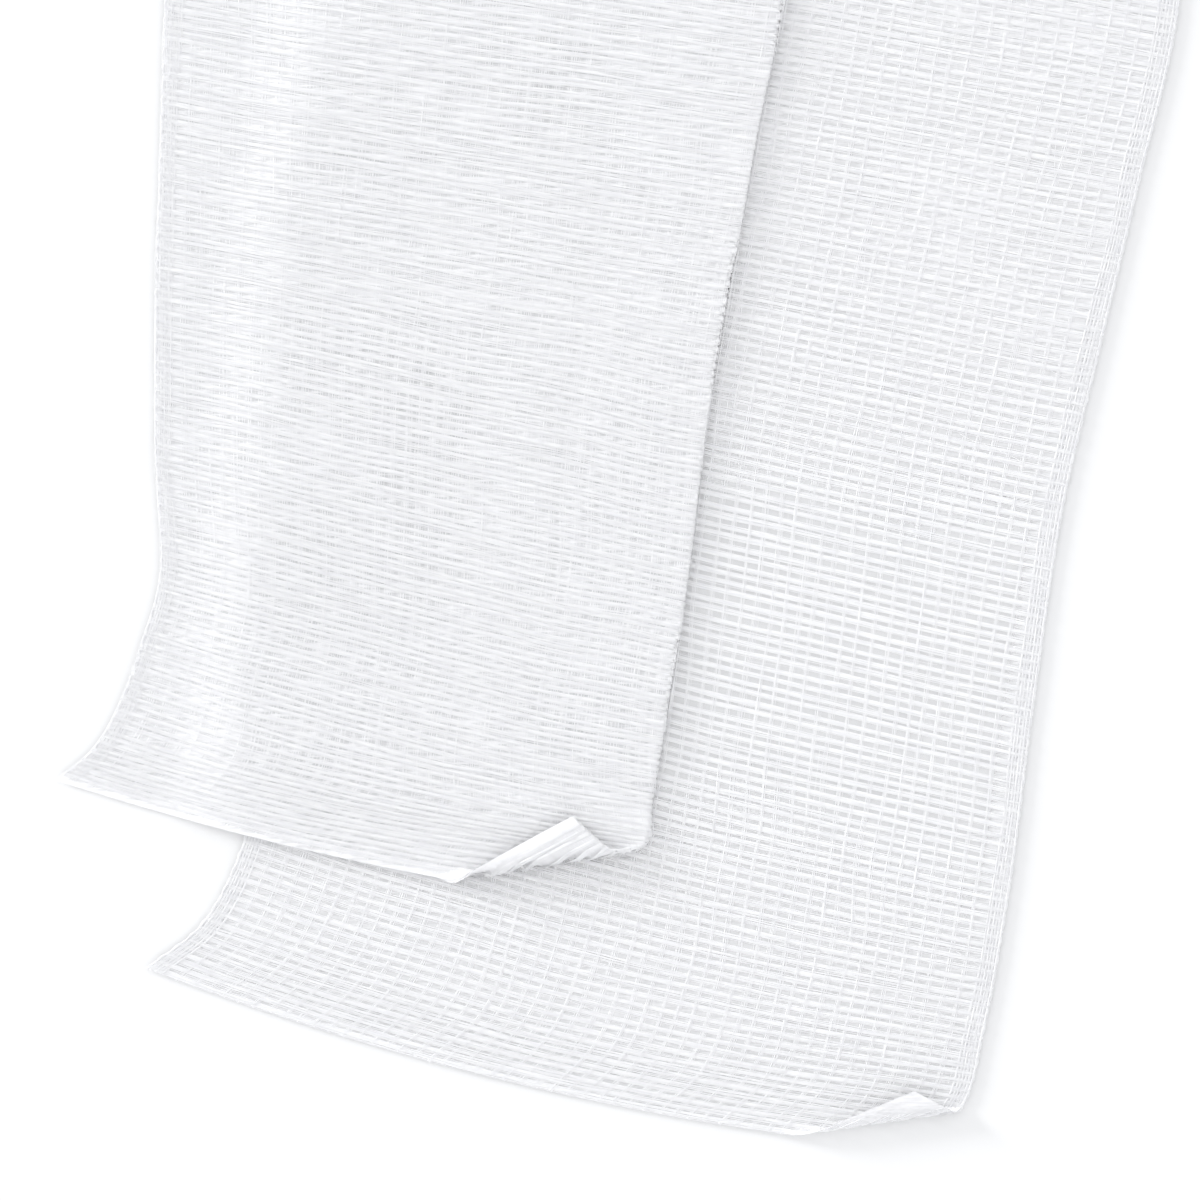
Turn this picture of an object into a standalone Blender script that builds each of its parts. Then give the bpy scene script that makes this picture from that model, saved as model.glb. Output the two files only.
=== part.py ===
"""Length of gauze bandage, doubled over and laid flat.

One strip of cloth starts at its lower cut end, runs away along the surface it lies on, turns back over
itself in a loose fold and comes forward again as the upper ply, to its other cut end. The upper ply has
its right margin turned under, and one corner of each cut end has rolled up.

The strip is described by ACROSS, measured from its left selvedge, and ALONG, measured from its lower cut
end. Tables of rows give where the cloth's crosswise threads lie. Sizes are millimetres, and the finished
model is in metres, +Z up, with its origin under the middle of its box.
"""

import math

import bmesh
import bpy
import numpy as np

METRES = 0.001

# The cloth
WIDTH = 100.0
THICKNESS = 1.0

# The crosswise rows of each ply, from the cut end to the fold. left and right are the row's two ends laid
# flat, and bow is how far its middle hangs towards the cut end. On the upper ply right is the turned edge,
# and turned is the width of cloth past it that is turned under.
LOWER_ROWS = (
    # left x, left y, right x, right y, bow, turned
    (-56.9, -46.0, 40.3, -68.8, 3.4, 0.0),
    (-50.0, -40.6, 45.5, -63.1, 2.8, 0.0),
    (-45.0, -31.3, 47.9, -54.4, 2.0, 0.0),
    (-42.6, -15.1, 50.8, -38.8, 1.0, 0.0),
    (-40.0, 11.8, 54.5, -11.3, 0.5, 0.0),
    (-38.2, 34.4, 58.1, 12.5, 0.4, 0.0),
    (-35.8, 51.4, 62.5, 31.3, 0.3, 0.0),
    (-33.2, 69.1, 66.9, 50.0, 0.3, 0.0),
    (-29.6, 94.0, 72.6, 76.0, 0.2, 0.0),
    (-29.4, 124.0, 71.6, 110.0, -0.4, 0.0),
    (-32.6, 147.3, 67.2, 136.8, -1.2, 0.0),
    (-31.8, 155.3, 68.0, 144.8, -1.4, 0.0),
)
UPPER_ROWS = (
    # left x, left y, right x, right y, bow, turned
    (-68.1, -22.5, -1.4, -37.7, 1.5, 25.0),
    (-63.4, -18.6, 1.7, -32.3, 1.7, 24.6),
    (-60.6, -14.0, 6.2, -29.9, 1.7, 23.6),
    (-58.9, -9.9, 6.5, -26.2, 1.5, 22.4),
    (-57.1, -4.6, 7.4, -20.4, 1.0, 20.8),
    (-55.6, 0.0, 8.3, -15.7, 0.6, 20.0),
    (-55.6, 18.8, 11.2, 3.6, 0.3, 20.0),
    (-55.6, 37.5, 13.7, 23.6, 0.2, 20.0),
    (-55.0, 56.3, 17.3, 44.1, 0.2, 20.0),
    (-54.4, 75.0, 20.8, 63.4, 0.2, 20.0),
    (-53.4, 93.0, 25.6, 81.0, 0.2, 18.5),
    (-47.8, 116.0, 40.6, 104.2, -0.2, 10.5),
    (-39.6, 136.0, 59.0, 125.2, -0.8, 0.5),
    (-34.0, 146.6, 65.8, 136.1, -1.2, 0.0),
    (-31.8, 155.3, 68.0, 144.8, -1.4, 0.0),
)

# Heights of the cloth's middle surface
ON_SURFACE = THICKNESS / 2
OVER_LOWER = 2.3
ON_LOWER = 1.9
FOLD_RADIUS = 2.5

# The margin turned under the upper ply
TURN_RADIUS = 0.8
TURN_SETTLES = 4.0
MARGIN_RISE_FROM = 40.0
MARGIN_RISE_TO = 14.0

# The upper ply comes down to the surface past the lower ply's left edge, and up again to the fold
EDGE_CLEARANCE = 2.0
EDGE_FALL = 9.0
FOLD_RISE = 34.0
SWELL = 0.25
SWELL_LENGTH = 46.0

# Each rolled corner turns about a line on the cloth: a point on it, its angle, the roll's radius, and how
# far round the cloth goes before it runs straight. Angles are degrees.
# x, y, angle, radius, turn
LOWER_ROLL = (22.9, -65.5, 8.1, 1.6, 170.0)
UPPER_ROLL = (-18.5, -32.4, 9.9, 1.9, 172.0)

# Spacing of the model's faces, and the decimals that a point keeps, so that what lies flat is exactly flat
DECIMALS = 4
FLAT_COLUMNS = 15
TURN_COLUMNS = 6
UNDER_COLUMNS = 4
COLUMN_CROWDING = 1.3
TURN_ROOM = 1.6
UNDER_ROOM = 0.5
COLUMNS_SETTLE = 14.0
END_ROWS = 13
END_LENGTH = 13.0
LOWER_ROW = 9.0
UPPER_ROW = 6.5
OPENING_ROW = 2.6
OPENING_FROM = 42.0
OPENING_TO = 12.0
FOLD_ROWS = 8

GAUZE_COLOUR = (0.93, 0.93, 0.94, 1.0)
GAUZE_ROUGHNESS = 0.95


def ease(x):
    """0 before 0, 1 past 1, and a smooth step between."""
    t = np.clip(x, 0.0, 1.0)
    return t * t * (3.0 - 2.0 * t)


def row_places(rows):
    """How far each row's middle is along its ply from the cut end."""
    middles = (rows[:, 0:2] + rows[:, 2:4]) / 2
    steps = np.linalg.norm(np.diff(middles, axis=0), axis=1)
    return np.concatenate([[0.0], np.cumsum(steps)])


def row_at(rows, run):
    """The row at each place in run, on a smooth curve through the table's rows."""
    places = row_places(rows)
    slopes = np.gradient(rows, places, axis=0)
    i = np.clip(np.searchsorted(places, run, side="right") - 1, 0, len(places) - 2)
    length = (places[i + 1] - places[i])[:, None]
    t = np.clip((run - places[i])[:, None] / length, 0.0, 1.0)
    near = (1 + 2 * t) * (1 - t) ** 2 * rows[i] + t * (1 - t) ** 2 * length * slopes[i]
    far = t * t * (3 - 2 * t) * rows[i + 1] - t * t * (1 - t) * length * slopes[i + 1]
    return near + far


LOWER = np.array(LOWER_ROWS)
UPPER = np.array(UPPER_ROWS)
LOWER_RUN = float(row_places(LOWER)[-1])
UPPER_RUN = float(row_places(UPPER)[-1])
FOLD_RUN = math.pi * FOLD_RADIUS
LENGTH = LOWER_RUN + FOLD_RUN + UPPER_RUN


def on_row(row, distance):
    """The plan point at a distance along each row, with the row's bow."""
    chord = row[:, 2:4] - row[:, 0:2]
    span = np.linalg.norm(chord, axis=1)
    direction = chord / span[:, None]
    towards_end = np.stack([direction[:, 1], -direction[:, 0]], axis=1)
    share = distance / span
    bow = row[:, 4] * 4 * share * (1 - share)
    return row[:, 0:2] + direction * distance[:, None] + towards_end * bow[:, None]


def roll_corner(points, level, roll):
    """Rolls up what lies past the roll's line, about a level height of the flat cloth."""
    x, y, angle, radius, turn = roll
    along = np.array([math.cos(math.radians(angle)), math.sin(math.radians(angle))])
    outward = np.array([along[1], -along[0]])
    offset = points[:, 0:2] - (x, y)
    past = np.maximum(offset @ outward, 0.0)
    round_by = np.minimum(past / radius, math.radians(turn))
    straight = past - radius * round_by
    arm = radius - (points[:, 2] - level)
    reach = arm * np.sin(round_by) + straight * np.cos(round_by)
    height = level + radius - arm * np.cos(round_by) + straight * np.sin(round_by)
    rolled = points.copy()
    rolled[:, 0:2] += outward * (reach - past)[:, None]
    rolled[:, 2] = height
    return np.where(past[:, None] > 0, rolled, points)


def lower_ply(across, run):
    """The lower ply lies flat on the surface, but for its rolled corner."""
    row = row_at(LOWER, run)
    span = np.linalg.norm(row[:, 2:4] - row[:, 0:2], axis=1)
    plan = on_row(row, across / WIDTH * span)
    flat = np.column_stack([plan, np.full(len(plan), ON_SURFACE)])
    return roll_corner(flat, ON_SURFACE, LOWER_ROLL)


def turn_of(row):
    """The width turned under at each row, the row's length to the turned edge, and where the turn starts."""
    turned = np.maximum(row[:, 5], 0.0)
    span = np.linalg.norm(row[:, 2:4] - row[:, 0:2], axis=1)
    return turned, span, span - TURN_RADIUS * ease(turned / TURN_SETTLES)


def upper_ply(across, run):
    """The upper ply rests on the lower one and on the surface beside it, with its margin turned under."""
    row = row_at(UPPER, run)
    turned, span, straight = turn_of(row)
    distance = across * span / (WIDTH - turned)
    past = distance - straight
    angle = np.clip(past / TURN_RADIUS, 0.0, math.pi)
    back = np.maximum(past - math.pi * TURN_RADIUS, 0.0)
    place = np.where(past > 0, straight + TURN_RADIUS * np.sin(angle) - back, distance)
    plan = on_row(row, place)

    edge_height = ON_LOWER + 2 * TURN_RADIUS
    to_edge = span - np.where(past > 0, span, place)
    rise = ease((MARGIN_RISE_FROM - to_edge) / (MARGIN_RISE_FROM - MARGIN_RISE_TO))
    swell = SWELL * np.sin(run * 2 * math.pi / SWELL_LENGTH) * np.sin(place / span * math.pi) ** 2
    height = OVER_LOWER + (edge_height - OVER_LOWER) * rise + swell
    edge_x = np.interp(plan[:, 1], LOWER[:, 1], LOWER[:, 0])
    outside = edge_x - EDGE_CLEARANCE - plan[:, 0]
    height = height + (ON_SURFACE - height) * ease(outside / EDGE_FALL)
    to_fold = ease(1 - (UPPER_RUN - run) / FOLD_RISE)
    height = height + (ON_SURFACE + 2 * FOLD_RADIUS - height) * to_fold
    height = height - TURN_RADIUS * (1 - np.cos(angle))
    return roll_corner(np.column_stack([plan, height]), edge_height, UPPER_ROLL)


def fold(across, run):
    """The fold joins the two plies in a half turn past their last row."""
    row = np.repeat(LOWER[-1:], len(across), axis=0)
    chord = row[:, 2:4] - row[:, 0:2]
    span = np.linalg.norm(chord, axis=1)
    outward = np.stack([-chord[:, 1], chord[:, 0]], axis=1) / span[:, None]
    angle = run / FOLD_RADIUS
    plan = on_row(row, across / WIDTH * span) + outward * (FOLD_RADIUS * np.sin(angle))[:, None]
    return np.column_stack([plan, ON_SURFACE + FOLD_RADIUS * (1 - np.cos(angle))])


def cloth(across, along):
    """Points of the cloth's middle surface."""
    lower = lower_ply(across, np.clip(along, 0.0, LOWER_RUN))
    turn = fold(across, np.clip(along - LOWER_RUN, 0.0, FOLD_RUN))
    upper = upper_ply(across, np.clip(LENGTH - along, 0.0, UPPER_RUN))
    on_fold = (along > LOWER_RUN)[:, None]
    on_upper = (along > LOWER_RUN + FOLD_RUN)[:, None]
    return np.where(on_upper, upper, np.where(on_fold, turn, lower))


def facing(across, along):
    """Unit normals of the middle surface, towards the side that faces up on the lower ply."""
    step = 0.05
    sideways = cloth(np.minimum(across + step, WIDTH), along) - cloth(np.maximum(across - step, 0.0), along)
    onward = cloth(across, np.minimum(along + step, LENGTH)) - cloth(across, np.maximum(along - step, 0.0))
    normal = np.cross(sideways, onward)
    return normal / np.linalg.norm(normal, axis=1)[:, None]


def row_spacing():
    """Where the model's own rows lie: close at the cut ends and round the fold, wide between."""
    fold_end = LOWER_RUN + FOLD_RUN
    stretches = (
        (0.0, END_LENGTH, END_LENGTH / END_ROWS),
        (END_LENGTH, LOWER_RUN, LOWER_ROW),
        (LOWER_RUN, fold_end, FOLD_RUN / FOLD_ROWS),
        (fold_end, fold_end + OPENING_TO, UPPER_ROW),
        (fold_end + OPENING_TO, fold_end + OPENING_FROM, OPENING_ROW),
        (fold_end + OPENING_FROM, LENGTH - END_LENGTH, UPPER_ROW),
        (LENGTH - END_LENGTH, LENGTH, END_LENGTH / END_ROWS),
    )
    places = [0.0]
    for start, end, spacing in stretches:
        count = max(1, round((end - start) / spacing))
        places += [start + (end - start) * step / count for step in range(1, count + 1)]
    return np.array(places)


def crowded(count):
    """Places from 0 to 1 that lie closer together towards 1."""
    return 1.0 - (1.0 - np.linspace(0.0, 1.0, count + 1)) ** COLUMN_CROWDING


def column_spacing(along):
    """Where the columns cross one row: closer to the right, and on the upper ply closest round its turn."""
    count = FLAT_COLUMNS + TURN_COLUMNS + UNDER_COLUMNS
    even = WIDTH * crowded(count)
    run = LENGTH - along
    row = row_at(UPPER, np.array([min(run, UPPER_RUN)]))
    turned, span, straight = turn_of(row)
    stretch = span[0] / (WIDTH - turned[0])
    turn_start = min(straight[0] / stretch, WIDTH - TURN_ROOM)
    turn_end = min(turn_start + math.pi * TURN_RADIUS, WIDTH - UNDER_ROOM)
    close = np.concatenate(
        [
            turn_start * crowded(FLAT_COLUMNS),
            np.linspace(turn_start, turn_end, TURN_COLUMNS + 1)[1:],
            np.linspace(turn_end, WIDTH, UNDER_COLUMNS + 1)[1:],
        ]
    )
    share = float(ease((UPPER_RUN - run) / COLUMNS_SETTLE))
    return even + (close - even) * share


def gauze_material():
    material = bpy.data.materials.new("white_gauze")
    material.use_nodes = True
    surface = material.node_tree.nodes["Principled BSDF"]
    surface.inputs["Base Color"].default_value = GAUZE_COLOUR
    surface.inputs["Roughness"].default_value = GAUZE_ROUGHNESS
    surface.inputs["Metallic"].default_value = 0.0
    return material


def gauze_strip():
    """The whole cloth as one closed solid: its two faces and the rim that joins them."""
    rows = row_spacing()
    across = np.array([column_spacing(place) for place in rows])
    along = np.repeat(rows[:, None], across.shape[1], axis=1)
    middle = cloth(across.ravel(), along.ravel())
    normal = facing(across.ravel(), along.ravel())
    top = np.round(middle + normal * THICKNESS / 2, DECIMALS)
    bottom = np.round(middle - normal * THICKNESS / 2, DECIMALS)
    low = np.minimum(top.min(axis=0), bottom.min(axis=0))
    high = np.maximum(top.max(axis=0), bottom.max(axis=0))
    origin = np.round([(low[0] + high[0]) / 2, (low[1] + high[1]) / 2, 0.0], DECIMALS)

    shape = bmesh.new()
    row_count, column_count = across.shape
    upper_side = [shape.verts.new((point - origin) * METRES) for point in top]
    lower_side = [shape.verts.new((point - origin) * METRES) for point in bottom]
    for row in range(row_count - 1):
        for column in range(column_count - 1):
            a = row * column_count + column
            b = a + 1
            c = b + column_count
            d = a + column_count
            shape.faces.new((upper_side[a], upper_side[b], upper_side[c], upper_side[d]))
            shape.faces.new((lower_side[d], lower_side[c], lower_side[b], lower_side[a]))
    first_row = list(range(column_count))
    last_row = [(row_count - 1) * column_count + column for column in range(column_count)]
    left = [row * column_count for row in range(row_count)]
    right = [row * column_count + column_count - 1 for row in range(row_count)]
    rim = first_row + right[1:] + last_row[::-1][1:] + left[::-1][1:-1]
    for here, there in zip(rim, rim[1:] + rim[:1]):
        shape.faces.new((lower_side[here], lower_side[there], upper_side[there], upper_side[here]))
    bmesh.ops.triangulate(shape, faces=shape.faces[:])

    mesh = bpy.data.meshes.new("gauze_strip")
    shape.to_mesh(mesh)
    shape.free()
    mesh.shade_smooth()
    mesh.materials.append(gauze_material())
    strip = bpy.data.objects.new("gauze_strip", mesh)
    bpy.context.scene.collection.objects.link(strip)
    return strip


for thing in list(bpy.data.objects):
    bpy.data.objects.remove(thing)

gauze_strip()
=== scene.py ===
"""Looks of a doubled length of gauze bandage: its yarns, its loose fibres, and the light that it lies in.

The strip is described by ACROSS, measured from its left selvedge, and ALONG, measured from its lower cut
end. These and all other sizes are in millimetres, and angles in degrees, unless a comment says otherwise.
Pieces are made in metres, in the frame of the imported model.
"""

import math

import bpy
import numpy as np
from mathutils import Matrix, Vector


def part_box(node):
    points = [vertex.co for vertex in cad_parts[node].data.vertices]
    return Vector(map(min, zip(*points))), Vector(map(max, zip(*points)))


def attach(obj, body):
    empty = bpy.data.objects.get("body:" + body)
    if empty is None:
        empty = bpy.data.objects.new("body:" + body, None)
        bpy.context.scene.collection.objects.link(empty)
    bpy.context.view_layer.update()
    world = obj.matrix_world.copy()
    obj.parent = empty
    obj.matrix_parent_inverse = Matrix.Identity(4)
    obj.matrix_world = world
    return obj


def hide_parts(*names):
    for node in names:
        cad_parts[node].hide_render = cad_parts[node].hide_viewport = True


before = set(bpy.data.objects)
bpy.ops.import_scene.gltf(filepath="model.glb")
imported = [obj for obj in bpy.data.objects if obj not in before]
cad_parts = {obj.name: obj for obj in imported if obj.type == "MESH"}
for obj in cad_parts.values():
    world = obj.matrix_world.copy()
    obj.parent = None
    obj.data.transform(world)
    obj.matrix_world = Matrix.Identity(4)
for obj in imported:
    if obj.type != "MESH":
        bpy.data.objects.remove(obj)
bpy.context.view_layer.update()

METRES = 0.001  # in a millimetre

# ---------------------------------------------------------------------------------------------------------
# The wefts, the crosswise yarns: soft, hardly twisted bleached cotton, each an open bundle of strands.
# They are woven one over and one under, turn back round the edge yarn into the next weft, and have slipped
# in the open weave. Their strip lies doubled over, with a margin turned under and two rolled corners.

WIDTH = 100.0
ON_SURFACE = 0.5         # height of the lower ply's middle surface, just over the paper
OVER_LOWER = 1.4         # height of the upper ply's middle surface, where it lies on the lower one
ON_LOWER = 0.9           # height of the margin turned under, between the two
FOLD_RADIUS = 2.5        # of the loose fold between the plies
TURN_RADIUS = 0.3        # of the turned edge
TURN_SETTLES = 4.0       # width turned under from which the turned edge has its whole radius
MARGIN = (20.0, 25.0)    # width turned under along most of the ply, and at its cut end
MARGIN_RISE_FROM = 40.0  # from the turned edge to where the ply starts to rise over the margin
MARGIN_RISE_TO = 14.0    # and to where it has risen
EDGE_CLEARANCE = 2.0     # how far past the lower ply's left edge the upper one keeps its height
EDGE_FALL = 9.0          # over which it then comes down to the paper
FOLD_RISE = 34.0         # over which the upper ply rises to the fold
END_SAG = 0.1            # how much lower the turned edge lies at the cut end
SAG_LENGTH = 30.0        # over which it comes up from there
SWELL = 0.2              # height of the upper ply's slack waves
SWELL_LENGTH = 46.0      # from one wave to the next

# The crosswise rows of each ply, from the cut end to the fold: left x, left y, right x, right y, bow, and
# on the upper ply the width of cloth turned under past the right end.
LOWER = np.array((
    (-56.9, -46.0, 40.3, -68.8, 3.4, 0.0),
    (-50.0, -40.6, 45.5, -63.1, 2.8, 0.0),
    (-45.0, -31.3, 47.9, -54.4, 2.0, 0.0),
    (-42.6, -15.1, 50.8, -38.8, 1.0, 0.0),
    (-40.0, 11.8, 54.5, -11.3, 0.5, 0.0),
    (-38.2, 34.4, 58.1, 12.5, 0.4, 0.0),
    (-35.8, 51.4, 62.5, 31.3, 0.3, 0.0),
    (-33.2, 69.1, 66.9, 50.0, 0.3, 0.0),
    (-29.6, 94.0, 72.6, 76.0, 0.2, 0.0),
    (-29.4, 124.0, 71.6, 110.0, -0.4, 0.0),
    (-32.6, 147.3, 67.2, 136.8, -1.2, 0.0),
    (-31.8, 155.3, 68.0, 144.8, -1.4, 0.0),
))
UPPER = np.array((
    (-68.1, -22.5, -1.4, -37.7, 1.5, 25.0),
    (-63.4, -18.6, 1.7, -32.3, 1.7, 24.6),
    (-60.6, -14.0, 6.2, -29.9, 1.7, 23.6),
    (-58.9, -9.9, 6.5, -26.2, 1.5, 22.4),
    (-57.1, -4.6, 7.4, -20.4, 1.0, 20.8),
    (-55.6, 0.0, 8.3, -15.7, 0.6, 20.0),
    (-55.6, 18.8, 11.2, 3.6, 0.3, 20.0),
    (-55.6, 37.5, 13.7, 23.6, 0.2, 20.0),
    (-55.0, 56.3, 17.3, 44.1, 0.2, 20.0),
    (-54.4, 75.0, 20.8, 63.4, 0.2, 20.0),
    (-53.4, 93.0, 25.6, 81.0, 0.2, 18.5),
    (-47.8, 116.0, 40.6, 104.2, -0.2, 10.5),
    (-39.6, 136.0, 59.0, 125.2, -0.8, 0.5),
    (-34.0, 146.6, 65.8, 136.1, -1.2, 0.0),
    (-31.8, 155.3, 68.0, 144.8, -1.4, 0.0),
))
# Each rolled corner turns about a line on the cloth: x, y, angle, radius and how far round it goes.
LOWER_ROLL = (22.9, -66.3, 8.1, 0.7, 174.0)
UPPER_ROLL = (-18.5, -34.3, 9.9, 0.5, 178.0)


def ease(x):
    """0 before 0, 1 past 1, and a smooth step between."""
    t = np.clip(x, 0.0, 1.0)
    return t * t * (3.0 - 2.0 * t)


def row_places(rows):
    """How far each row's middle is along its ply from the cut end."""
    middles = (rows[:, 0:2] + rows[:, 2:4]) / 2
    steps = np.linalg.norm(np.diff(middles, axis=0), axis=1)
    return np.concatenate([[0.0], np.cumsum(steps)])


def row_at(rows, run):
    """The row at each place in run, on a smooth curve through the table's rows."""
    places = row_places(rows)
    slopes = np.gradient(rows, places, axis=0)
    i = np.clip(np.searchsorted(places, run, side="right") - 1, 0, len(places) - 2)
    length = (places[i + 1] - places[i])[:, None]
    t = np.clip((run - places[i])[:, None] / length, 0.0, 1.0)
    near = (1 + 2 * t) * (1 - t) ** 2 * rows[i] + t * (1 - t) ** 2 * length * slopes[i]
    far = t * t * (3 - 2 * t) * rows[i + 1] - t * t * (1 - t) * length * slopes[i + 1]
    return near + far


LOWER_RUN = float(row_places(LOWER)[-1])
UPPER_RUN = float(row_places(UPPER)[-1])
FOLD_RUN = math.pi * FOLD_RADIUS
LENGTH = LOWER_RUN + FOLD_RUN + UPPER_RUN
OVER_FOLD = (LOWER_RUN, LOWER_RUN + FOLD_RUN)  # where one ply ends and the other begins, along the strip


def on_row(row, distance):
    """The plan point at a distance along each row, with the row's bow."""
    chord = row[:, 2:4] - row[:, 0:2]
    span = np.linalg.norm(chord, axis=1)
    direction = chord / span[:, None]
    towards_end = np.stack([direction[:, 1], -direction[:, 0]], axis=1)
    share = distance / span
    bow = row[:, 4] * 4 * share * (1 - share)
    return row[:, 0:2] + direction * distance[:, None] + towards_end * bow[:, None]


def roll_corner(points, level, roll):
    """Rolls up what lies past the roll's line, about a level height of the flat cloth."""
    x, y, angle, radius, turn = roll
    along = np.array([math.cos(math.radians(angle)), math.sin(math.radians(angle))])
    outward = np.array([along[1], -along[0]])
    past = np.maximum((points[:, 0:2] - (x, y)) @ outward, 0.0)
    round_by = np.minimum(past / radius, math.radians(turn))
    straight = past - radius * round_by
    arm = radius - (points[:, 2] - level)
    reach = arm * np.sin(round_by) + straight * np.cos(round_by)
    rolled = points.copy()
    rolled[:, 0:2] += outward * (reach - past)[:, None]
    rolled[:, 2] = level + radius - arm * np.cos(round_by) + straight * np.sin(round_by)
    return np.where(past[:, None] > 0, rolled, points)


def lower_ply(across, run):
    """The lower ply lies flat on the paper, but for its rolled corner."""
    row = row_at(LOWER, run)
    span = np.linalg.norm(row[:, 2:4] - row[:, 0:2], axis=1)
    plan = on_row(row, across / WIDTH * span)
    flat = np.column_stack([plan, np.full(len(plan), ON_SURFACE)])
    return roll_corner(flat, ON_SURFACE, LOWER_ROLL)


def upper_ply(across, run):
    """The upper ply rests on the lower one and on the paper beside it, with its margin turned under."""
    row = row_at(UPPER, run)
    turned = np.maximum(row[:, 5], 0.0)
    span = np.linalg.norm(row[:, 2:4] - row[:, 0:2], axis=1)
    straight = span - TURN_RADIUS * ease(turned / TURN_SETTLES)
    distance = across * span / (WIDTH - turned)
    past = distance - straight
    angle = np.clip(past / TURN_RADIUS, 0.0, math.pi)
    back = np.maximum(past - math.pi * TURN_RADIUS, 0.0)
    place = np.where(past > 0, straight + TURN_RADIUS * np.sin(angle) - back, distance)
    plan = on_row(row, place)

    sag = END_SAG * (1 - ease(run / SAG_LENGTH))
    edge_height = ON_LOWER + 2 * TURN_RADIUS - sag
    to_edge = span - np.where(past > 0, span, place)
    rise = ease((MARGIN_RISE_FROM - to_edge) / (MARGIN_RISE_FROM - MARGIN_RISE_TO))
    swell = SWELL * np.sin(run * 2 * math.pi / SWELL_LENGTH) * np.sin(place / span * math.pi) ** 2
    height = OVER_LOWER + (edge_height - OVER_LOWER) * rise + swell
    edge_x = np.interp(plan[:, 1], LOWER[:, 1], LOWER[:, 0])
    outside = edge_x - EDGE_CLEARANCE - plan[:, 0]
    height = height + (ON_SURFACE - height) * ease(outside / EDGE_FALL)
    to_fold = ease(1 - (UPPER_RUN - run) / FOLD_RISE)
    height = height + (ON_SURFACE + 2 * FOLD_RADIUS - height) * to_fold
    height = height - TURN_RADIUS * (1 - np.cos(angle))
    return roll_corner(np.column_stack([plan, height]), edge_height, UPPER_ROLL)


def fold(across, run):
    """The fold joins the two plies in a half turn past their last row."""
    row = np.repeat(LOWER[-1:], len(across), axis=0)
    chord = row[:, 2:4] - row[:, 0:2]
    span = np.linalg.norm(chord, axis=1)
    outward = np.stack([-chord[:, 1], chord[:, 0]], axis=1) / span[:, None]
    angle = run / FOLD_RADIUS
    plan = on_row(row, across / WIDTH * span) + outward * (FOLD_RADIUS * np.sin(angle))[:, None]
    return np.column_stack([plan, ON_SURFACE + FOLD_RADIUS * (1 - np.cos(angle))])


def cloth(across, along):
    """Points of the strip's middle surface."""
    lower = lower_ply(across, np.clip(along, 0.0, LOWER_RUN))
    turn = fold(across, np.clip(along - LOWER_RUN, 0.0, FOLD_RUN))
    upper = upper_ply(across, np.clip(LENGTH - along, 0.0, UPPER_RUN))
    on_fold = (along > LOWER_RUN)[:, None]
    on_upper = (along > LOWER_RUN + FOLD_RUN)[:, None]
    return np.where(on_upper, upper, np.where(on_fold, turn, lower))


SLOPE_STEP = 0.05    # between the points from which the surface's slopes are taken
SOLID_HALF = 0.5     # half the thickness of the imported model's cloth
BOX_GRID = (80, 700)  # points across and along from which the strip's box is taken


def facing(across, along):
    """Unit normals of the middle surface, towards the side that faces up on the lower ply."""
    right = cloth(np.minimum(across + SLOPE_STEP, WIDTH), along)
    left = cloth(np.maximum(across - SLOPE_STEP, 0.0), along)
    ahead = cloth(across, np.minimum(along + SLOPE_STEP, LENGTH))
    behind = cloth(across, np.maximum(along - SLOPE_STEP, 0.0))
    normal = np.cross(right - left, ahead - behind)
    return normal / np.linalg.norm(normal, axis=1)[:, None]


def shift_to_frame():
    """How far the strip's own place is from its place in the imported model."""
    columns = np.linspace(0.0, WIDTH, BOX_GRID[0])
    rows = np.linspace(0.0, LENGTH, BOX_GRID[1])
    across, along = np.meshgrid(columns, rows)
    middle = cloth(across.ravel(), along.ravel())
    rim = facing(across.ravel(), along.ravel()) * SOLID_HALF
    both = np.concatenate([middle + rim, middle - rim])
    own = (both.min(axis=0) + both.max(axis=0)) / 2
    low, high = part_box("gauze_strip")
    packed = np.array((low + high) / 2) / METRES
    return np.array([packed[0] - own[0], packed[1] - own[1], 0.0])


SHIFT = shift_to_frame()


def laid(across, along, height=0.0):
    """Points of the strip in the frame, in metres, at a height over its middle surface, and the surface's
    normals there. The places may be arrays of any shape, and may run on past the cut ends."""
    shape = np.shape(across)
    across = np.clip(np.ravel(across), 0.0, WIDTH)
    along = np.ravel(along)
    past_end = along - np.clip(along, 0.0, LENGTH)
    along = along - past_end
    normal = facing(across, along)
    ahead = np.minimum(along + SLOPE_STEP, LENGTH)
    onward = cloth(across, ahead) - cloth(across, ahead - SLOPE_STEP)
    points = cloth(across, along) + normal * np.broadcast_to(height, shape).ravel()[:, None]
    points = points + onward / SLOPE_STEP * past_end[:, None]
    return ((points + SHIFT) * METRES).reshape(*shape, 3), normal.reshape(*shape, 3)


def linear(hex_colour):
    """An sRGB hex colour as linear red, green, blue and alpha."""
    parts = [int(hex_colour[i:i + 2], 16) / 255 for i in (1, 3, 5)]
    return tuple(c / 12.92 if c <= 0.04045 else ((c + 0.055) / 1.055) ** 2.4 for c in parts) + (1.0,)


def add_node(material, kind, inputs=None, **settings):
    """Adds a node to a material. An input is a value, or a link from another node, as (node, output)."""
    node = material.node_tree.nodes.new("ShaderNode" + kind)
    for name, value in settings.items():
        setattr(node, name, value)
    for name, value in (inputs or {}).items():
        if isinstance(value, tuple) and isinstance(value[0], bpy.types.Node):
            material.node_tree.links.new(value[0].outputs[value[1]], node.inputs[name])
        else:
            node.inputs[name].default_value = value
    return node


def new_material(name):
    material = bpy.data.materials.new(name)
    material.use_nodes = True
    material.node_tree.nodes.clear()
    return material


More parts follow.
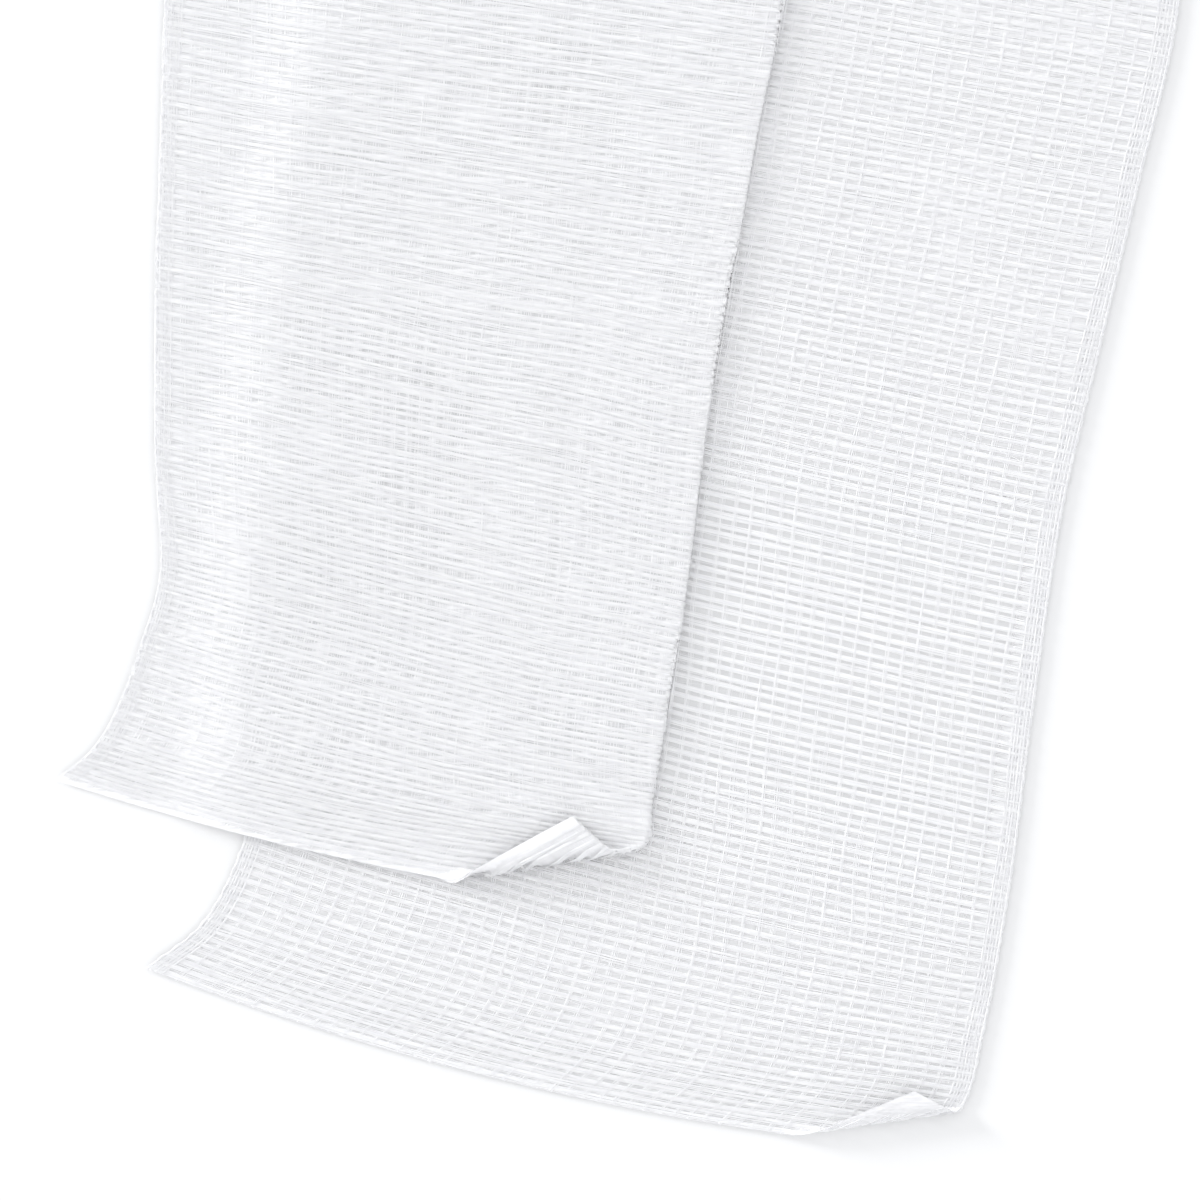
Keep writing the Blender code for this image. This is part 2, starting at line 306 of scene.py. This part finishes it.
def new_piece(name, points, faces, material):
    """A smooth mesh object that rides on the model's one body."""
    mesh = bpy.data.meshes.new(name)
    mesh.from_pydata(points.reshape(-1, 3).tolist(), [], faces.reshape(-1, 4).tolist())
    mesh.shade_smooth()
    mesh.materials.append(material)
    piece = bpy.data.objects.new(name, mesh)
    bpy.context.scene.collection.objects.link(piece)
    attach(piece, "root")
    return piece


# The weave along the strip. The columns are the place, the spacing of the wefts, how strongly they lie in
# pairs, how far a weft's outer strands lie from its middle as a share of that spacing, and how dense the
# haze of loose fibre is, where 1 hides all that lies behind its densest streaks.
PLACE, SPACING, PAIRING, SPREAD, HAZE = range(5)
WEAVE_ALONG = np.array((
    (0.0, 1.10, 0.04, 0.30, 0.75),
    (20.0, 1.12, 0.05, 0.29, 0.60),
    (44.0, 1.14, 0.08, 0.27, 0.25),
    (66.0, 1.16, 0.10, 0.25, 0.0),
    (82.0, 1.20, 0.14, 0.28, 0.40),
    (107.0, 1.15, 0.14, 0.28, 0.80),
    (133.0, 1.05, 0.12, 0.29, 0.90),
    (213.0, 1.05, 0.10, 0.29, 0.80),
    (310.0, 1.02, 0.08, 0.33, 1.15),
    (343.0, 0.98, 0.08, 0.31, 1.10),
    (368.0, 0.90, 0.06, 0.30, 1.15),
    (387.0, 0.86, 0.04, 0.30, 1.20),
    (414.0, 0.84, 0.02, 0.30, 1.20),
))

BODY_PITCH = 1.96        # between lengthwise yarns in the open weave
SELVEDGE_YARNS = 6       # lengthwise yarns close together at each edge
SELVEDGE_PITCH = 0.42    # between them
EDGE_INSET = 0.25        # from the edge to the first of them
END_INSET = 0.5          # from a cut end to the first weft
YARNS_SLIP = (0.55, 1.0)  # how much the wefts have slipped: on the lower ply, and on the upper one
WEFT_JITTER = 0.10       # by which two wefts may lie nearer or further apart
WEFT_WANDER = 0.13       # how far a weft wanders on its own
WEFT_WANDER_LENGTHS = (9.0, 30.0)
WEFT_DRIFT = 0.26        # how far neighbouring wefts drift together
WEFT_DRIFT_LENGTH = 15.0
WARP_WANDER = 0.16       # how far a warp, a lengthwise yarn, wanders on its own
WARP_WANDER_LENGTH = 14.0
WARP_DRIFT = 0.35        # how far neighbouring warps drift together
WARP_DRIFT_LENGTH = 9.0
EDGE_HOLDS = 4.0         # from a selvedge to where the warps are free to move
END_HOLDS = 8.0          # from a cut end to where the wefts are free to drift


def weave_at(along, column):
    return np.interp(along, WEAVE_ALONG[:, PLACE], WEAVE_ALONG[:, column])


def slip_at(along):
    return np.interp(along, OVER_FOLD, YARNS_SLIP)


def drift(random, across, along, period):
    """One smooth random field from -1 to 1 over the strip, which moves neighbouring yarns together."""
    knots = random.uniform(-1.0, 1.0, (int(WIDTH / period) + 3, int(LENGTH / period) + 3))
    u = np.clip(across, 0.0, WIDTH) / period
    v = np.clip(along, 0.0, LENGTH) / period
    i, j = u.astype(int), v.astype(int)
    s, t = ease(u - i), ease(v - j)
    near = knots[i, j] * (1 - s) + knots[i + 1, j] * s
    far = knots[i, j + 1] * (1 - s) + knots[i + 1, j + 1] * s
    return near * (1 - t) + far * t


def wander(random, count, places, period):
    """count smooth random curves from -1 to 1, read at places, that change over about a period."""
    knots = random.uniform(-1.0, 1.0, (count, int(np.max(places) / period) + 3))
    t = places / period + random.uniform(0.0, 1.0, (count, 1))
    i = t.astype(int)
    share = ease(t - i)
    line = np.arange(count)[:, None]
    return knots[line, i] * (1 - share) + knots[line, i + 1] * share


def warp_places():
    """Where the lengthwise yarns lie across the strip: close in the selvedges, wide apart between."""
    edge = EDGE_INSET + SELVEDGE_PITCH * np.arange(SELVEDGE_YARNS)
    body = WIDTH - 2 * edge[-1]
    count = round(body / BODY_PITCH)
    between = edge[-1] + body * np.arange(1, count) / count
    return np.concatenate([edge, between, WIDTH - edge[::-1]])


def weft_places(random):
    """Where the wefts lie along the strip, from one cut end to the other."""
    places = [END_INSET]
    while places[-1] < LENGTH - END_INSET:
        here = places[-1]
        spacing = weave_at(here, SPACING)
        paired = weave_at(here, PAIRING)
        side = 1 if len(places) % 2 else -1
        jitter = random.uniform(-WEFT_JITTER, WEFT_JITTER) * slip_at(here)
        places.append(here + spacing + side * paired + jitter)
    return np.array(places[:-1])


def crossings():
    """Where every weft crosses every warp: the place across and along the strip, in two tables."""
    random = np.random.default_rng(11)
    warps = warp_places()
    wefts = weft_places(random)
    off_edge = ease(np.minimum(warps, WIDTH - warps) / EDGE_HOLDS)
    warp_wander = wander(random, len(warps), wefts[None, :], WARP_WANDER_LENGTH).T
    across = warps[None, :] + warp_wander * WARP_WANDER * off_edge
    slip = slip_at(wefts)[:, None]
    along = wefts[:, None]
    for length in WEFT_WANDER_LENGTHS:
        along = along + wander(random, len(wefts), warps[None, :], length) * WEFT_WANDER * slip
    weft_drift = drift(random, across, along, WEFT_DRIFT_LENGTH)
    warp_drift = drift(random, across, along, WARP_DRIFT_LENGTH)
    off_end = ease(np.minimum(along, LENGTH - along) / END_HOLDS)
    across = across + warp_drift * WARP_DRIFT * off_edge
    along = along + weft_drift * WEFT_DRIFT * slip * off_end
    return across, along


CROSS_ACROSS, CROSS_ALONG = crossings()
WEFTS, WARPS = CROSS_ACROSS.shape
OVER_UNDER = np.where(np.add.outer(np.arange(WEFTS), np.arange(WARPS)) % 2, -1.0, 1.0)
PLY_SPLIT = LOWER_RUN + FOLD_RUN / 2  # half way round the fold, where the plies' pieces meet

STRAND_STRAY = 0.22      # how far a strand strays across its yarn, as a share of the yarn's spread
STRAND_STRAY_LENGTH = 6.0
STRAND_UNEVEN = 0.35     # how much its width varies, as a share
STRAND_UNEVEN_LENGTH = 4.0
STRAND_LIFT = 0.03       # how far it strays up or down
STRAND_LIFT_LENGTH = 5.0
STRAND_MIDDLE = 1.15     # width of a strand in the middle of its bundle, as a share of half_width
STRAND_TAPER = 0.5       # how much less that share is for the outermost strands
ARCH_REACH = 1.5         # the arch falls no more past this square of a place's share of the spread
YARNS_APART = 3.7        # between two yarns' places in the pattern of fibres


def spun(name, random, across, along, height, spread, strands, half_width, arch, material):
    """Soft yarns, each an open bundle of flat strands of fibre. Each row of the tables is one yarn: its
    places, its height over the cloth's middle, and how far its outer strands lie from its own middle. The
    arch is how far the bundle's middle stands over its edges."""
    centre, normal = laid(across, along, height)
    tangent = np.gradient(centre, axis=1)
    sideways = np.cross(tangent, normal)
    sideways = sideways / np.maximum(np.linalg.norm(sideways, axis=2, keepdims=True), 1e-12)
    steps = np.linalg.norm(np.diff(centre, axis=1), axis=2) / METRES
    run = np.concatenate([np.zeros((len(steps), 1)), np.cumsum(steps, axis=1)], axis=1)
    count, places = across.shape
    mean_run = run.mean(axis=0, keepdims=True)

    def stray(period):
        curves = wander(random, count * strands, mean_run, period)
        return curves.reshape(count, strands, places).transpose(0, 2, 1)

    rank = np.linspace(-1.0, 1.0, strands)
    spread = np.broadcast_to(spread, across.shape)[:, :, None]
    offset = spread * (rank + STRAND_STRAY * stray(STRAND_STRAY_LENGTH))
    uneven = 1 + STRAND_UNEVEN * stray(STRAND_UNEVEN_LENGTH)
    half = half_width * uneven * (STRAND_MIDDLE - STRAND_TAPER * rank ** 2)
    edge = np.stack([offset - half, offset + half], axis=-1)
    share = edge / spread[..., None]
    lift = STRAND_LIFT * stray(STRAND_LIFT_LENGTH)
    back = arch * (1 - np.minimum(share ** 2, ARCH_REACH)) + lift[..., None]
    points = (
        centre[:, :, None, None, :]
        + sideways[:, :, None, None, :] * edge[..., None] * METRES
        + normal[:, :, None, None, :] * back[..., None] * METRES
    )
    index = np.arange(edge.size).reshape(edge.shape)
    here, onward = index[:, :-1], index[:, 1:]
    quads = np.stack([here[..., 0], onward[..., 0], onward[..., 1], here[..., 1]], axis=-1)
    piece = new_piece(name, points, quads, material)
    number = np.arange(count)[:, None, None, None] * YARNS_APART
    place = np.stack(np.broadcast_arrays(run[:, :, None, None], edge, number), axis=-1)
    fibre_place = piece.data.attributes.new("fibre_place", "FLOAT_VECTOR", "POINT")
    fibre_place.data.foreach_set("vector", place.ravel())
    return piece


YARN_WHITE = "#F8F8F8"
YARN_SHADE = "#EFEFF1"
YARN_TONES = (0.35, 0.6)  # values of the noise at which a fibre has the shade, and the white
FIBRE_LENGTH = 3.0       # that a tuft of fibres shows along the yarn
FIBRE_GRAIN = 0.11       # across it. Fibres are finer, and are drawn this coarse so that they show
GROOVE_DEPTH = 0.04      # between the fibres
YARN_LIGHT_THROUGH = 0.32  # share of the light that passes through the strands
MIX_COLOURS = (6, 7)     # which of the Mix node's inputs are its two colours
MIX_RESULT = 2           # and which of its outputs is the mixed colour


def bleached_cotton_yarn(name):
    """Soft, hardly twisted bleached cotton: matt white with a faint shade from fibre to fibre, fine
    grooves along the yarn, a soft sheen from loose fibre ends, and some light that comes through."""
    material = new_material(name)
    place = add_node(material, "Attribute", attribute_name="fibre_place")
    drawn = add_node(
        material, "Mapping", {"Vector": (place, "Vector"),
                              "Scale": (1 / FIBRE_LENGTH, 1 / FIBRE_GRAIN, 1.0)})
    fibres = add_node(
        material, "TexNoise", {"Vector": (drawn, "Vector"), "Scale": 1.0, "Detail": 1.0, "Roughness": 0.6})
    tone = add_node(
        material, "MapRange", {"Value": (fibres, "Fac"), "From Min": YARN_TONES[0],
                               "From Max": YARN_TONES[1]})
    colour = add_node(
        material, "Mix", {0: (tone, "Result"), MIX_COLOURS[0]: linear(YARN_SHADE),
                          MIX_COLOURS[1]: linear(YARN_WHITE)}, data_type="RGBA")
    grooves = add_node(
        material, "Bump", {"Height": (fibres, "Fac"), "Strength": 0.3, "Distance": GROOVE_DEPTH * METRES})
    cotton = add_node(
        material, "BsdfPrincipled", {"Base Color": (colour, MIX_RESULT), "Roughness": 0.9, "IOR": 1.53,
                                     "Specular IOR Level": 0.2, "Sheen Weight": 0.25,
                                     "Sheen Roughness": 0.6, "Normal": (grooves, "Normal")})
    through = add_node(
        material, "BsdfTranslucent", {"Color": (colour, MIX_RESULT), "Normal": (grooves, "Normal")})
    fibre = add_node(
        material, "MixShader", {0: YARN_LIGHT_THROUGH, 1: (cotton, "BSDF"), 2: (through, "BSDF")})
    add_node(material, "OutputMaterial", {"Surface": (fibre, "Shader")})
    return material


TURN_POINTS = 4          # to each pitch of the lengthwise yarns, round the turned edge


def turn_columns(across):
    """Column numbers of a table, with more of them where the margin turns under."""
    columns = np.arange(across.shape[1], dtype=float)
    first, last = np.searchsorted(across.mean(axis=0), (WIDTH - MARGIN[1], WIDTH - MARGIN[0]))
    between = np.linspace(first - 1, last, (last - first + 1) * TURN_POINTS + 1)
    return np.unique(np.concatenate([columns, between.round(6)]))


def at_columns(table, columns):
    """The table's values at column numbers, which may lie between its columns."""
    i = np.minimum(columns.astype(int), table.shape[1] - 2)
    share = columns - i
    return table[:, i] * (1 - share) + table[:, i + 1] * share


CRIMP = 0.03             # how far a weft bends up and down from the cloth's middle
YARN_ARCH = 0.06         # how far the middle of a bundle stands over its edges
WEFT_STRANDS = 6
STRAND_HALF_WIDTH = 0.070
WEFT_END = 0.14          # from the edge of the cloth to where a weft turns back
WEFT_GATHERS = 1.5       # from the edge to where its strands begin to gather
WEFT_GATHERED = 0.5      # their spread at the edge, as a share
WEFT_SLUB = 0.2          # how much a weft swells and thins along its length, as a share
WEFT_SLUB_LENGTH = 9.0
WEFT_THICKNESS = (-0.2, 0.15)  # the least and the most that a weft's spread differs, as a share


def meeting(gaps, first):
    """How far each weft runs on along the edge to meet its neighbour. It is given the gaps between the
    wefts there, and the first weft that turns back into the next one."""
    run_on = np.zeros(len(gaps) + 1)
    run_on[first:-1:2] = gaps[first::2] / 2
    run_on[first + 1::2] = -gaps[first::2] / 2
    return run_on[:, None]


def weft_yarns():
    random = np.random.default_rng(23)
    gaps = np.diff(CROSS_ALONG, axis=0)
    left_end = CROSS_ALONG[:, :1] + meeting(gaps[:, 0], 1)
    right_end = CROSS_ALONG[:, -1:] + meeting(gaps[:, -1], 0)
    along = np.concatenate([left_end, CROSS_ALONG, right_end], axis=1)
    both_ends = ((0, 0), (1, 1))
    across = np.pad(CROSS_ACROSS, both_ends, constant_values=((0.0, 0.0), (WEFT_END, WIDTH - WEFT_END)))
    height = np.pad(OVER_UNDER * CRIMP, both_ends)
    columns = turn_columns(across)
    across, along, height = (at_columns(table, columns) for table in (across, along, height))
    off_edge = ease(np.minimum(across, WIDTH - across) / WEFT_GATHERS)
    slip = slip_at(along.mean(axis=1, keepdims=True))
    slub = 1 + WEFT_SLUB * slip * wander(random, WEFTS, across[:1], WEFT_SLUB_LENGTH)
    thick = 1 + slip * random.uniform(*WEFT_THICKNESS, (WEFTS, 1))
    spread = weave_at(along, SPACING) * weave_at(along, SPREAD) * slub * thick
    spread = spread * (WEFT_GATHERED + (1 - WEFT_GATHERED) * off_edge)
    material = bleached_cotton_yarn("bleached_cotton_weft")
    lower = CROSS_ALONG.mean(axis=1) < PLY_SPLIT
    pieces = []
    for ply, rows, up in (("lower", lower, 1.0), ("upper", ~lower, -1.0)):
        pieces.append(spun(
            f"weft_yarns_{ply}_ply", random, across[rows], along[rows], height[rows], spread[rows],
            WEFT_STRANDS, STRAND_HALF_WIDTH, up * YARN_ARCH, material))
    return pieces


wefts = weft_yarns()

# ---------------------------------------------------------------------------------------------------------
# The warps, the lengthwise yarns, of the same cotton. Each runs the whole length of the strip, from cut
# end to cut end, and bends under and over the wefts. They stand about 2 mm apart, and close together in
# the two selvedges.

WARP_SPREAD = (0.30, 0.56)  # of a warp's outer strands: on the lower ply, and on the more open upper one
WARP_THICKNESS = (0.85, 1.2)  # the least and the most that it is for a warp, as shares
SELVEDGE_SPREAD = 0.5    # what it is in the selvedges, as a share
WARP_STRANDS = 6
WARP_STRAND_HALF_WIDTH = 0.029
WARP_CRIMP = 0.4         # a warp's bends, as a share of a weft's, because the loom held it taut
WARP_SLUBS = ((0.22, 8.0), (0.12, 2.5))  # how much it swells and thins, and over what length
WARP_END = 0.5           # how far a warp runs on past the last weft
WARP_FRAY = (0.5, 1.2)   # the least and the most of that, as shares


def warp_yarns():
    random = np.random.default_rng(37)
    along = CROSS_ALONG.T
    first = along[:, :1] - WARP_END * random.uniform(*WARP_FRAY, (WARPS, 1))
    last = along[:, -1:] + WARP_END * random.uniform(*WARP_FRAY, (WARPS, 1))
    along = np.concatenate([first, along, last], axis=1)
    both_ends = ((0, 0), (1, 1))
    across = np.pad(CROSS_ACROSS.T, both_ends, mode="edge")
    height = np.pad(-OVER_UNDER.T * CRIMP * WARP_CRIMP, both_ends)
    places = np.linspace(0.0, LENGTH, across.shape[1])[None, :]
    slub = sum(wander(random, WARPS, places, length) * share for share, length in WARP_SLUBS)
    spread = np.interp(along, OVER_FOLD, WARP_SPREAD) * (1 + slub)
    spread = spread * random.uniform(*WARP_THICKNESS, (WARPS, 1))
    spread[:SELVEDGE_YARNS] *= SELVEDGE_SPREAD
    spread[-SELVEDGE_YARNS:] *= SELVEDGE_SPREAD
    material = bleached_cotton_yarn("bleached_cotton_warp")
    middle = int(np.searchsorted(CROSS_ALONG.mean(axis=1), PLY_SPLIT)) + 1
    pieces = []
    for ply, part, up in (("lower", slice(0, middle + 1), 1.0), ("upper", slice(middle, None), -1.0)):
        pieces.append(spun(
            f"warp_yarns_{ply}_ply", random, across[:, part], along[:, part], height[:, part],
            spread[:, part], WARP_STRANDS, WARP_STRAND_HALF_WIDTH, up * YARN_ARCH, material))
    return pieces


warps = warp_yarns()

# ---------------------------------------------------------------------------------------------------------
# The haze of fibre. Fine fibres stand off the soft yarns, most of all beside the lengthwise ones, and
# bridge the openings of the weave. They are one thin film that follows the whole strip.

HAZE_COLOUR = "#FCFCFD"
HAZE_STREAK = 5.0        # along a streak of fibres
HAZE_GRAIN = 0.45        # across it
HAZE_TURN = 12.5         # of the noise, which sets only where in it the streaks are read
HAZE_TONES = (0.38, 0.66)  # values of the noise between the streaks, and in the densest of them
HAZE_CONTRAST = 0.30     # how much thinner than its densest streaks the haze is between them
HAZE_MIDWAY = 0.80       # its share midway between two warps, of what it is beside them
HAZE_MOST = 0.96         # the densest that it is over most of the strip
HAZE_SELVEDGE = 0.85     # its least share in the close-woven selvedges
HAZE_CLOUD = 0.20        # how much it varies from place to place
HAZE_CLOUD_SIZE = 13.0
HAZE_LIGHT_THROUGH = 0.2  # share of the light that passes through the fibres


def cotton_fibre_haze():
    """Fine cotton fibres seen as a haze: white, mostly see-through, and drawn out in crosswise streaks."""
    material = new_material("cotton_fibre_haze")
    place = add_node(material, "TexCoord")
    streaks = add_node(
        material, "Mapping", {"Vector": (place, "Object"), "Rotation": (0.0, 0.0, math.radians(HAZE_TURN)),
                              "Scale": (1 / (HAZE_STREAK * METRES), 1 / (HAZE_GRAIN * METRES), 1.0)})
    fibres = add_node(
        material, "TexNoise", {"Vector": (streaks, "Vector"), "Scale": 1.0, "Detail": 1.0,
                               "Roughness": 0.6})
    streak = add_node(
        material, "MapRange", {"Value": (fibres, "Fac"), "From Min": HAZE_TONES[0],
                               "From Max": HAZE_TONES[1], "To Min": 1 - HAZE_CONTRAST, "To Max": 1.0})
    haze = add_node(material, "Attribute", attribute_name="haze")
    density = add_node(
        material, "Math", {0: (streak, "Result"), 1: (haze, "Fac")}, operation="MULTIPLY", use_clamp=True)
    clear = add_node(material, "BsdfTransparent")
    cotton = add_node(
        material, "BsdfPrincipled", {"Base Color": linear(HAZE_COLOUR), "Roughness": 0.95, "IOR": 1.53,
                                     "Specular IOR Level": 0.1})
    through = add_node(material, "BsdfTranslucent", {"Color": linear(HAZE_COLOUR)})
    fibre = add_node(
        material, "MixShader", {0: HAZE_LIGHT_THROUGH, 1: (cotton, "BSDF"), 2: (through, "BSDF")})
    haze_film = add_node(
        material, "MixShader", {0: (density, "Value"), 1: (clear, "BSDF"), 2: (fibre, "Shader")})
    add_node(material, "OutputMaterial", {"Surface": (haze_film, "Shader")})
    return material


FILM_ROW = 2.0           # between the film's rows
FILM_BEHIND = 0.09       # how far the film lies behind the yarns
MATTED_ACROSS = 66.0     # the handled corner of the upper ply, where the fibres are matted, is past here
MATTED_ALONG = 395.0     # and past here
MATTED_EASE = 8.0        # over which they grow so
MATTED_MOST = 1.45       # the densest that they are


def with_middles(table):
    """The table with a column added midway between each two."""
    full = np.empty((table.shape[0], table.shape[1] * 2 - 1))
    full[:, 0::2] = table
    full[:, 1::2] = (table[:, 1:] + table[:, :-1]) / 2
    return full


def fibre_film():
    """The film's columns run along the warps and midway between them."""
    along = np.linspace(0.0, LENGTH, round(LENGTH / FILM_ROW) + 1)
    on_warps = np.stack(
        [np.interp(along, CROSS_ALONG[:, warp], CROSS_ACROSS[:, warp]) for warp in range(WARPS)], axis=1)
    edge = np.zeros((len(along), 1))
    across = np.concatenate([edge, with_middles(on_warps), edge + WIDTH], axis=1)
    columns = turn_columns(across)
    on_warp = at_columns(np.tile(np.arange(across.shape[1]) % 2, (len(edge), 1)), columns)
    across = at_columns(across, columns)
    along = np.repeat(along[:, None], across.shape[1], axis=1)
    behind = np.interp(along, OVER_FOLD, (-FILM_BEHIND, FILM_BEHIND))
    points, _ = laid(across, along, behind)
    index = np.arange(across.size).reshape(across.shape)
    faces = np.stack([index[:-1, :-1], index[:-1, 1:], index[1:, 1:], index[1:, :-1]], axis=-1)
    piece = new_piece("fibre_film", points, faces, cotton_fibre_haze())
    in_body = ease((np.minimum(across, WIDTH - across) - SELVEDGE_YARNS * SELVEDGE_PITCH) / BODY_PITCH)
    beside_warp = 1 - (1 - HAZE_MIDWAY) * (1 - on_warp) * in_body
    matted = ease((across - MATTED_ACROSS) / MATTED_EASE) * ease((along - MATTED_ALONG) / MATTED_EASE)
    dense = weave_at(along, HAZE) * (1 + matted)
    cloud = 1 + HAZE_CLOUD * drift(np.random.default_rng(5), across, along, HAZE_CLOUD_SIZE)
    haze = np.maximum(dense * beside_warp * cloud, HAZE_SELVEDGE * (1 - in_body))
    haze = np.minimum(haze, HAZE_MOST + (MATTED_MOST - HAZE_MOST) * matted)
    piece.data.attributes.new("haze", "FLOAT", "POINT").data.foreach_set("value", haze.ravel())
    return piece


film = fibre_film()
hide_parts("gauze_strip")

# ---------------------------------------------------------------------------------------------------------
# Loose fibres. Threads of lint have worked out of the soft cotton yarn. They lie on both faces of the
# weave, mostly along the wefts, in slack waves.

LINT_COUNT = 900
LINT_PLACES = 12         # points along each
LINT_LENGTH = (3.0, 18.0)
LINT_START = (1.0, 2.0)  # least distance from where one starts to a selvedge, and to a cut end
LINT_INSET = (0.3, 0.5)  # and from the rest of it
LINT_LIES = (0.8, 0.2)   # shares that lie along the wefts, and along the warps
LINT_ASKEW = 0.12        # how far askew to that they lie on the whole, in radians
LINT_SWAY = 0.35         # how far one waves to either side
LINT_SWAY_LENGTH = 3.0
LINT_HEIGHT = 0.15       # over or under the cloth's middle
LINT_LIFT = 0.08         # how far that varies
LINT_LIFT_LENGTH = 2.0
LINT_HALF_WIDTH = 0.032
LINT_BOW = (0.6, 1.4)    # least and most that one bows to its side, as shares of its half width
LINT_BOW_END = 0.12      # how far short of the bow's half circle its ends stop, in radians


def loose_fibres():
    random = np.random.default_rng(41)
    column = (LINT_COUNT, 1)
    length = random.uniform(*LINT_LENGTH, column)
    start_across = random.uniform(LINT_START[0], WIDTH - LINT_START[0], column)
    start_along = random.uniform(LINT_START[1], LENGTH - LINT_START[1], column)
    askew = random.normal(0.0, LINT_ASKEW, column)
    bearing = askew + random.choice([0.0, math.pi / 2], column, p=LINT_LIES)
    way = np.linspace(0.0, 1.0, LINT_PLACES)[None, :] * length
    sway = wander(random, LINT_COUNT, way, LINT_SWAY_LENGTH) * LINT_SWAY
    across = start_across + way * np.cos(bearing) - sway * np.sin(bearing)
    along = start_along + way * np.sin(bearing) + sway * np.cos(bearing)
    across = np.clip(across, LINT_INSET[0], WIDTH - LINT_INSET[0])
    along = np.clip(along, LINT_INSET[1], LENGTH - LINT_INSET[1])
    side = random.choice([-1.0, 1.0], column, p=[0.5, 0.5])
    height = side * LINT_HEIGHT + wander(random, LINT_COUNT, way, LINT_LIFT_LENGTH) * LINT_LIFT
    half_circle = np.linspace(LINT_BOW_END, math.pi - LINT_BOW_END, LINT_PLACES)
    arc = np.sin(half_circle)[None, :] ** 0.5
    bow = LINT_HALF_WIDTH * arc * random.uniform(*LINT_BOW, column)
    material = bleached_cotton_yarn("loose_cotton_fibre")
    return spun("loose_fibres", random, across, along, height, bow, 1, LINT_HALF_WIDTH, 0.0, material)


lint = loose_fibres()

# ---------------------------------------------------------------------------------------------------------
# What it lies on: a smooth sheet of white studio paper, lit by a soft lamp from the upper left and by the
# white room round it.

PAPER_SIZE = 1600.0
PAPER_WHITE = "#E4E4E4"
PAPER_TOOTH = 0.6        # the grain of the paper's face
PAPER_TOOTH_DEPTH = 0.02


def white_paper():
    """Matt white paper: even, with a faint tooth."""
    material = new_material("white_paper")
    place = add_node(material, "TexCoord")
    tooth = add_node(
        material, "TexNoise", {"Vector": (place, "Object"), "Scale": 1 / (PAPER_TOOTH * METRES),
                               "Detail": 2.0})
    bump = add_node(
        material, "Bump", {"Height": (tooth, "Fac"), "Strength": 0.05,
                           "Distance": PAPER_TOOTH_DEPTH * METRES})
    paper = add_node(
        material, "BsdfPrincipled", {"Base Color": linear(PAPER_WHITE), "Roughness": 0.9,
                                     "Specular IOR Level": 0.2, "Normal": (bump, "Normal")})
    add_node(material, "OutputMaterial", {"Surface": (paper, "BSDF")})
    return material


def paper_floor():
    half = PAPER_SIZE / 2 * METRES
    corners = [(-half, -half, 0), (half, -half, 0), (half, half, 0), (-half, half, 0)]
    mesh = bpy.data.meshes.new("paper_floor")
    mesh.from_pydata(corners, [], [(0, 1, 2, 3)])
    mesh.materials.append(white_paper())
    floor = bpy.data.objects.new("paper_floor", mesh)
    bpy.context.scene.collection.objects.link(floor)
    return floor


paper_floor()

LAMP_BEARING = 152.0     # from +X: the upper left of the view
LAMP_ELEVATION = 12.0
LAMP_STRENGTH = 2.7
LAMP_SOFTNESS = 16.0     # the angle that the lamp spans
ROOM_WHITE = "#FCFDFF"   # a very little cooler than the lamp
ROOM_STRENGTH = 1.18

lamp = bpy.data.lights.new("soft_lamp", "SUN")
lamp.energy = LAMP_STRENGTH
lamp.angle = math.radians(LAMP_SOFTNESS)
lamp.cycles.max_bounces = 0  # the room alone fills the shadows
lamp_object = bpy.data.objects.new("soft_lamp", lamp)
lamp_object.rotation_euler = (0.0, math.radians(90.0 - LAMP_ELEVATION), math.radians(LAMP_BEARING))
bpy.context.scene.collection.objects.link(lamp_object)

room = bpy.data.worlds.new("white_room")
room.use_nodes = True
room.node_tree.nodes["Background"].inputs["Color"].default_value = linear(ROOM_WHITE)
room.node_tree.nodes["Background"].inputs["Strength"].default_value = ROOM_STRENGTH
room.cycles.sampling_method = "NONE"
bpy.context.scene.world = room
bpy.context.scene.view_settings.view_transform = "Standard"

# The camera looks straight down on a square, from far enough that it flattens what it sees.
VIEW_WIDTH = 150.0
LENS = 200.0
SENSOR = 36.0

camera = bpy.data.cameras.new("view_from_above")
camera.lens = LENS
camera.sensor_width = SENSOR
camera_object = bpy.data.objects.new("view_from_above", camera)
camera_object.location = (SHIFT[0] * METRES, SHIFT[1] * METRES, VIEW_WIDTH * METRES * LENS / SENSOR)
bpy.context.scene.collection.objects.link(camera_object)
bpy.context.scene.camera = camera_object
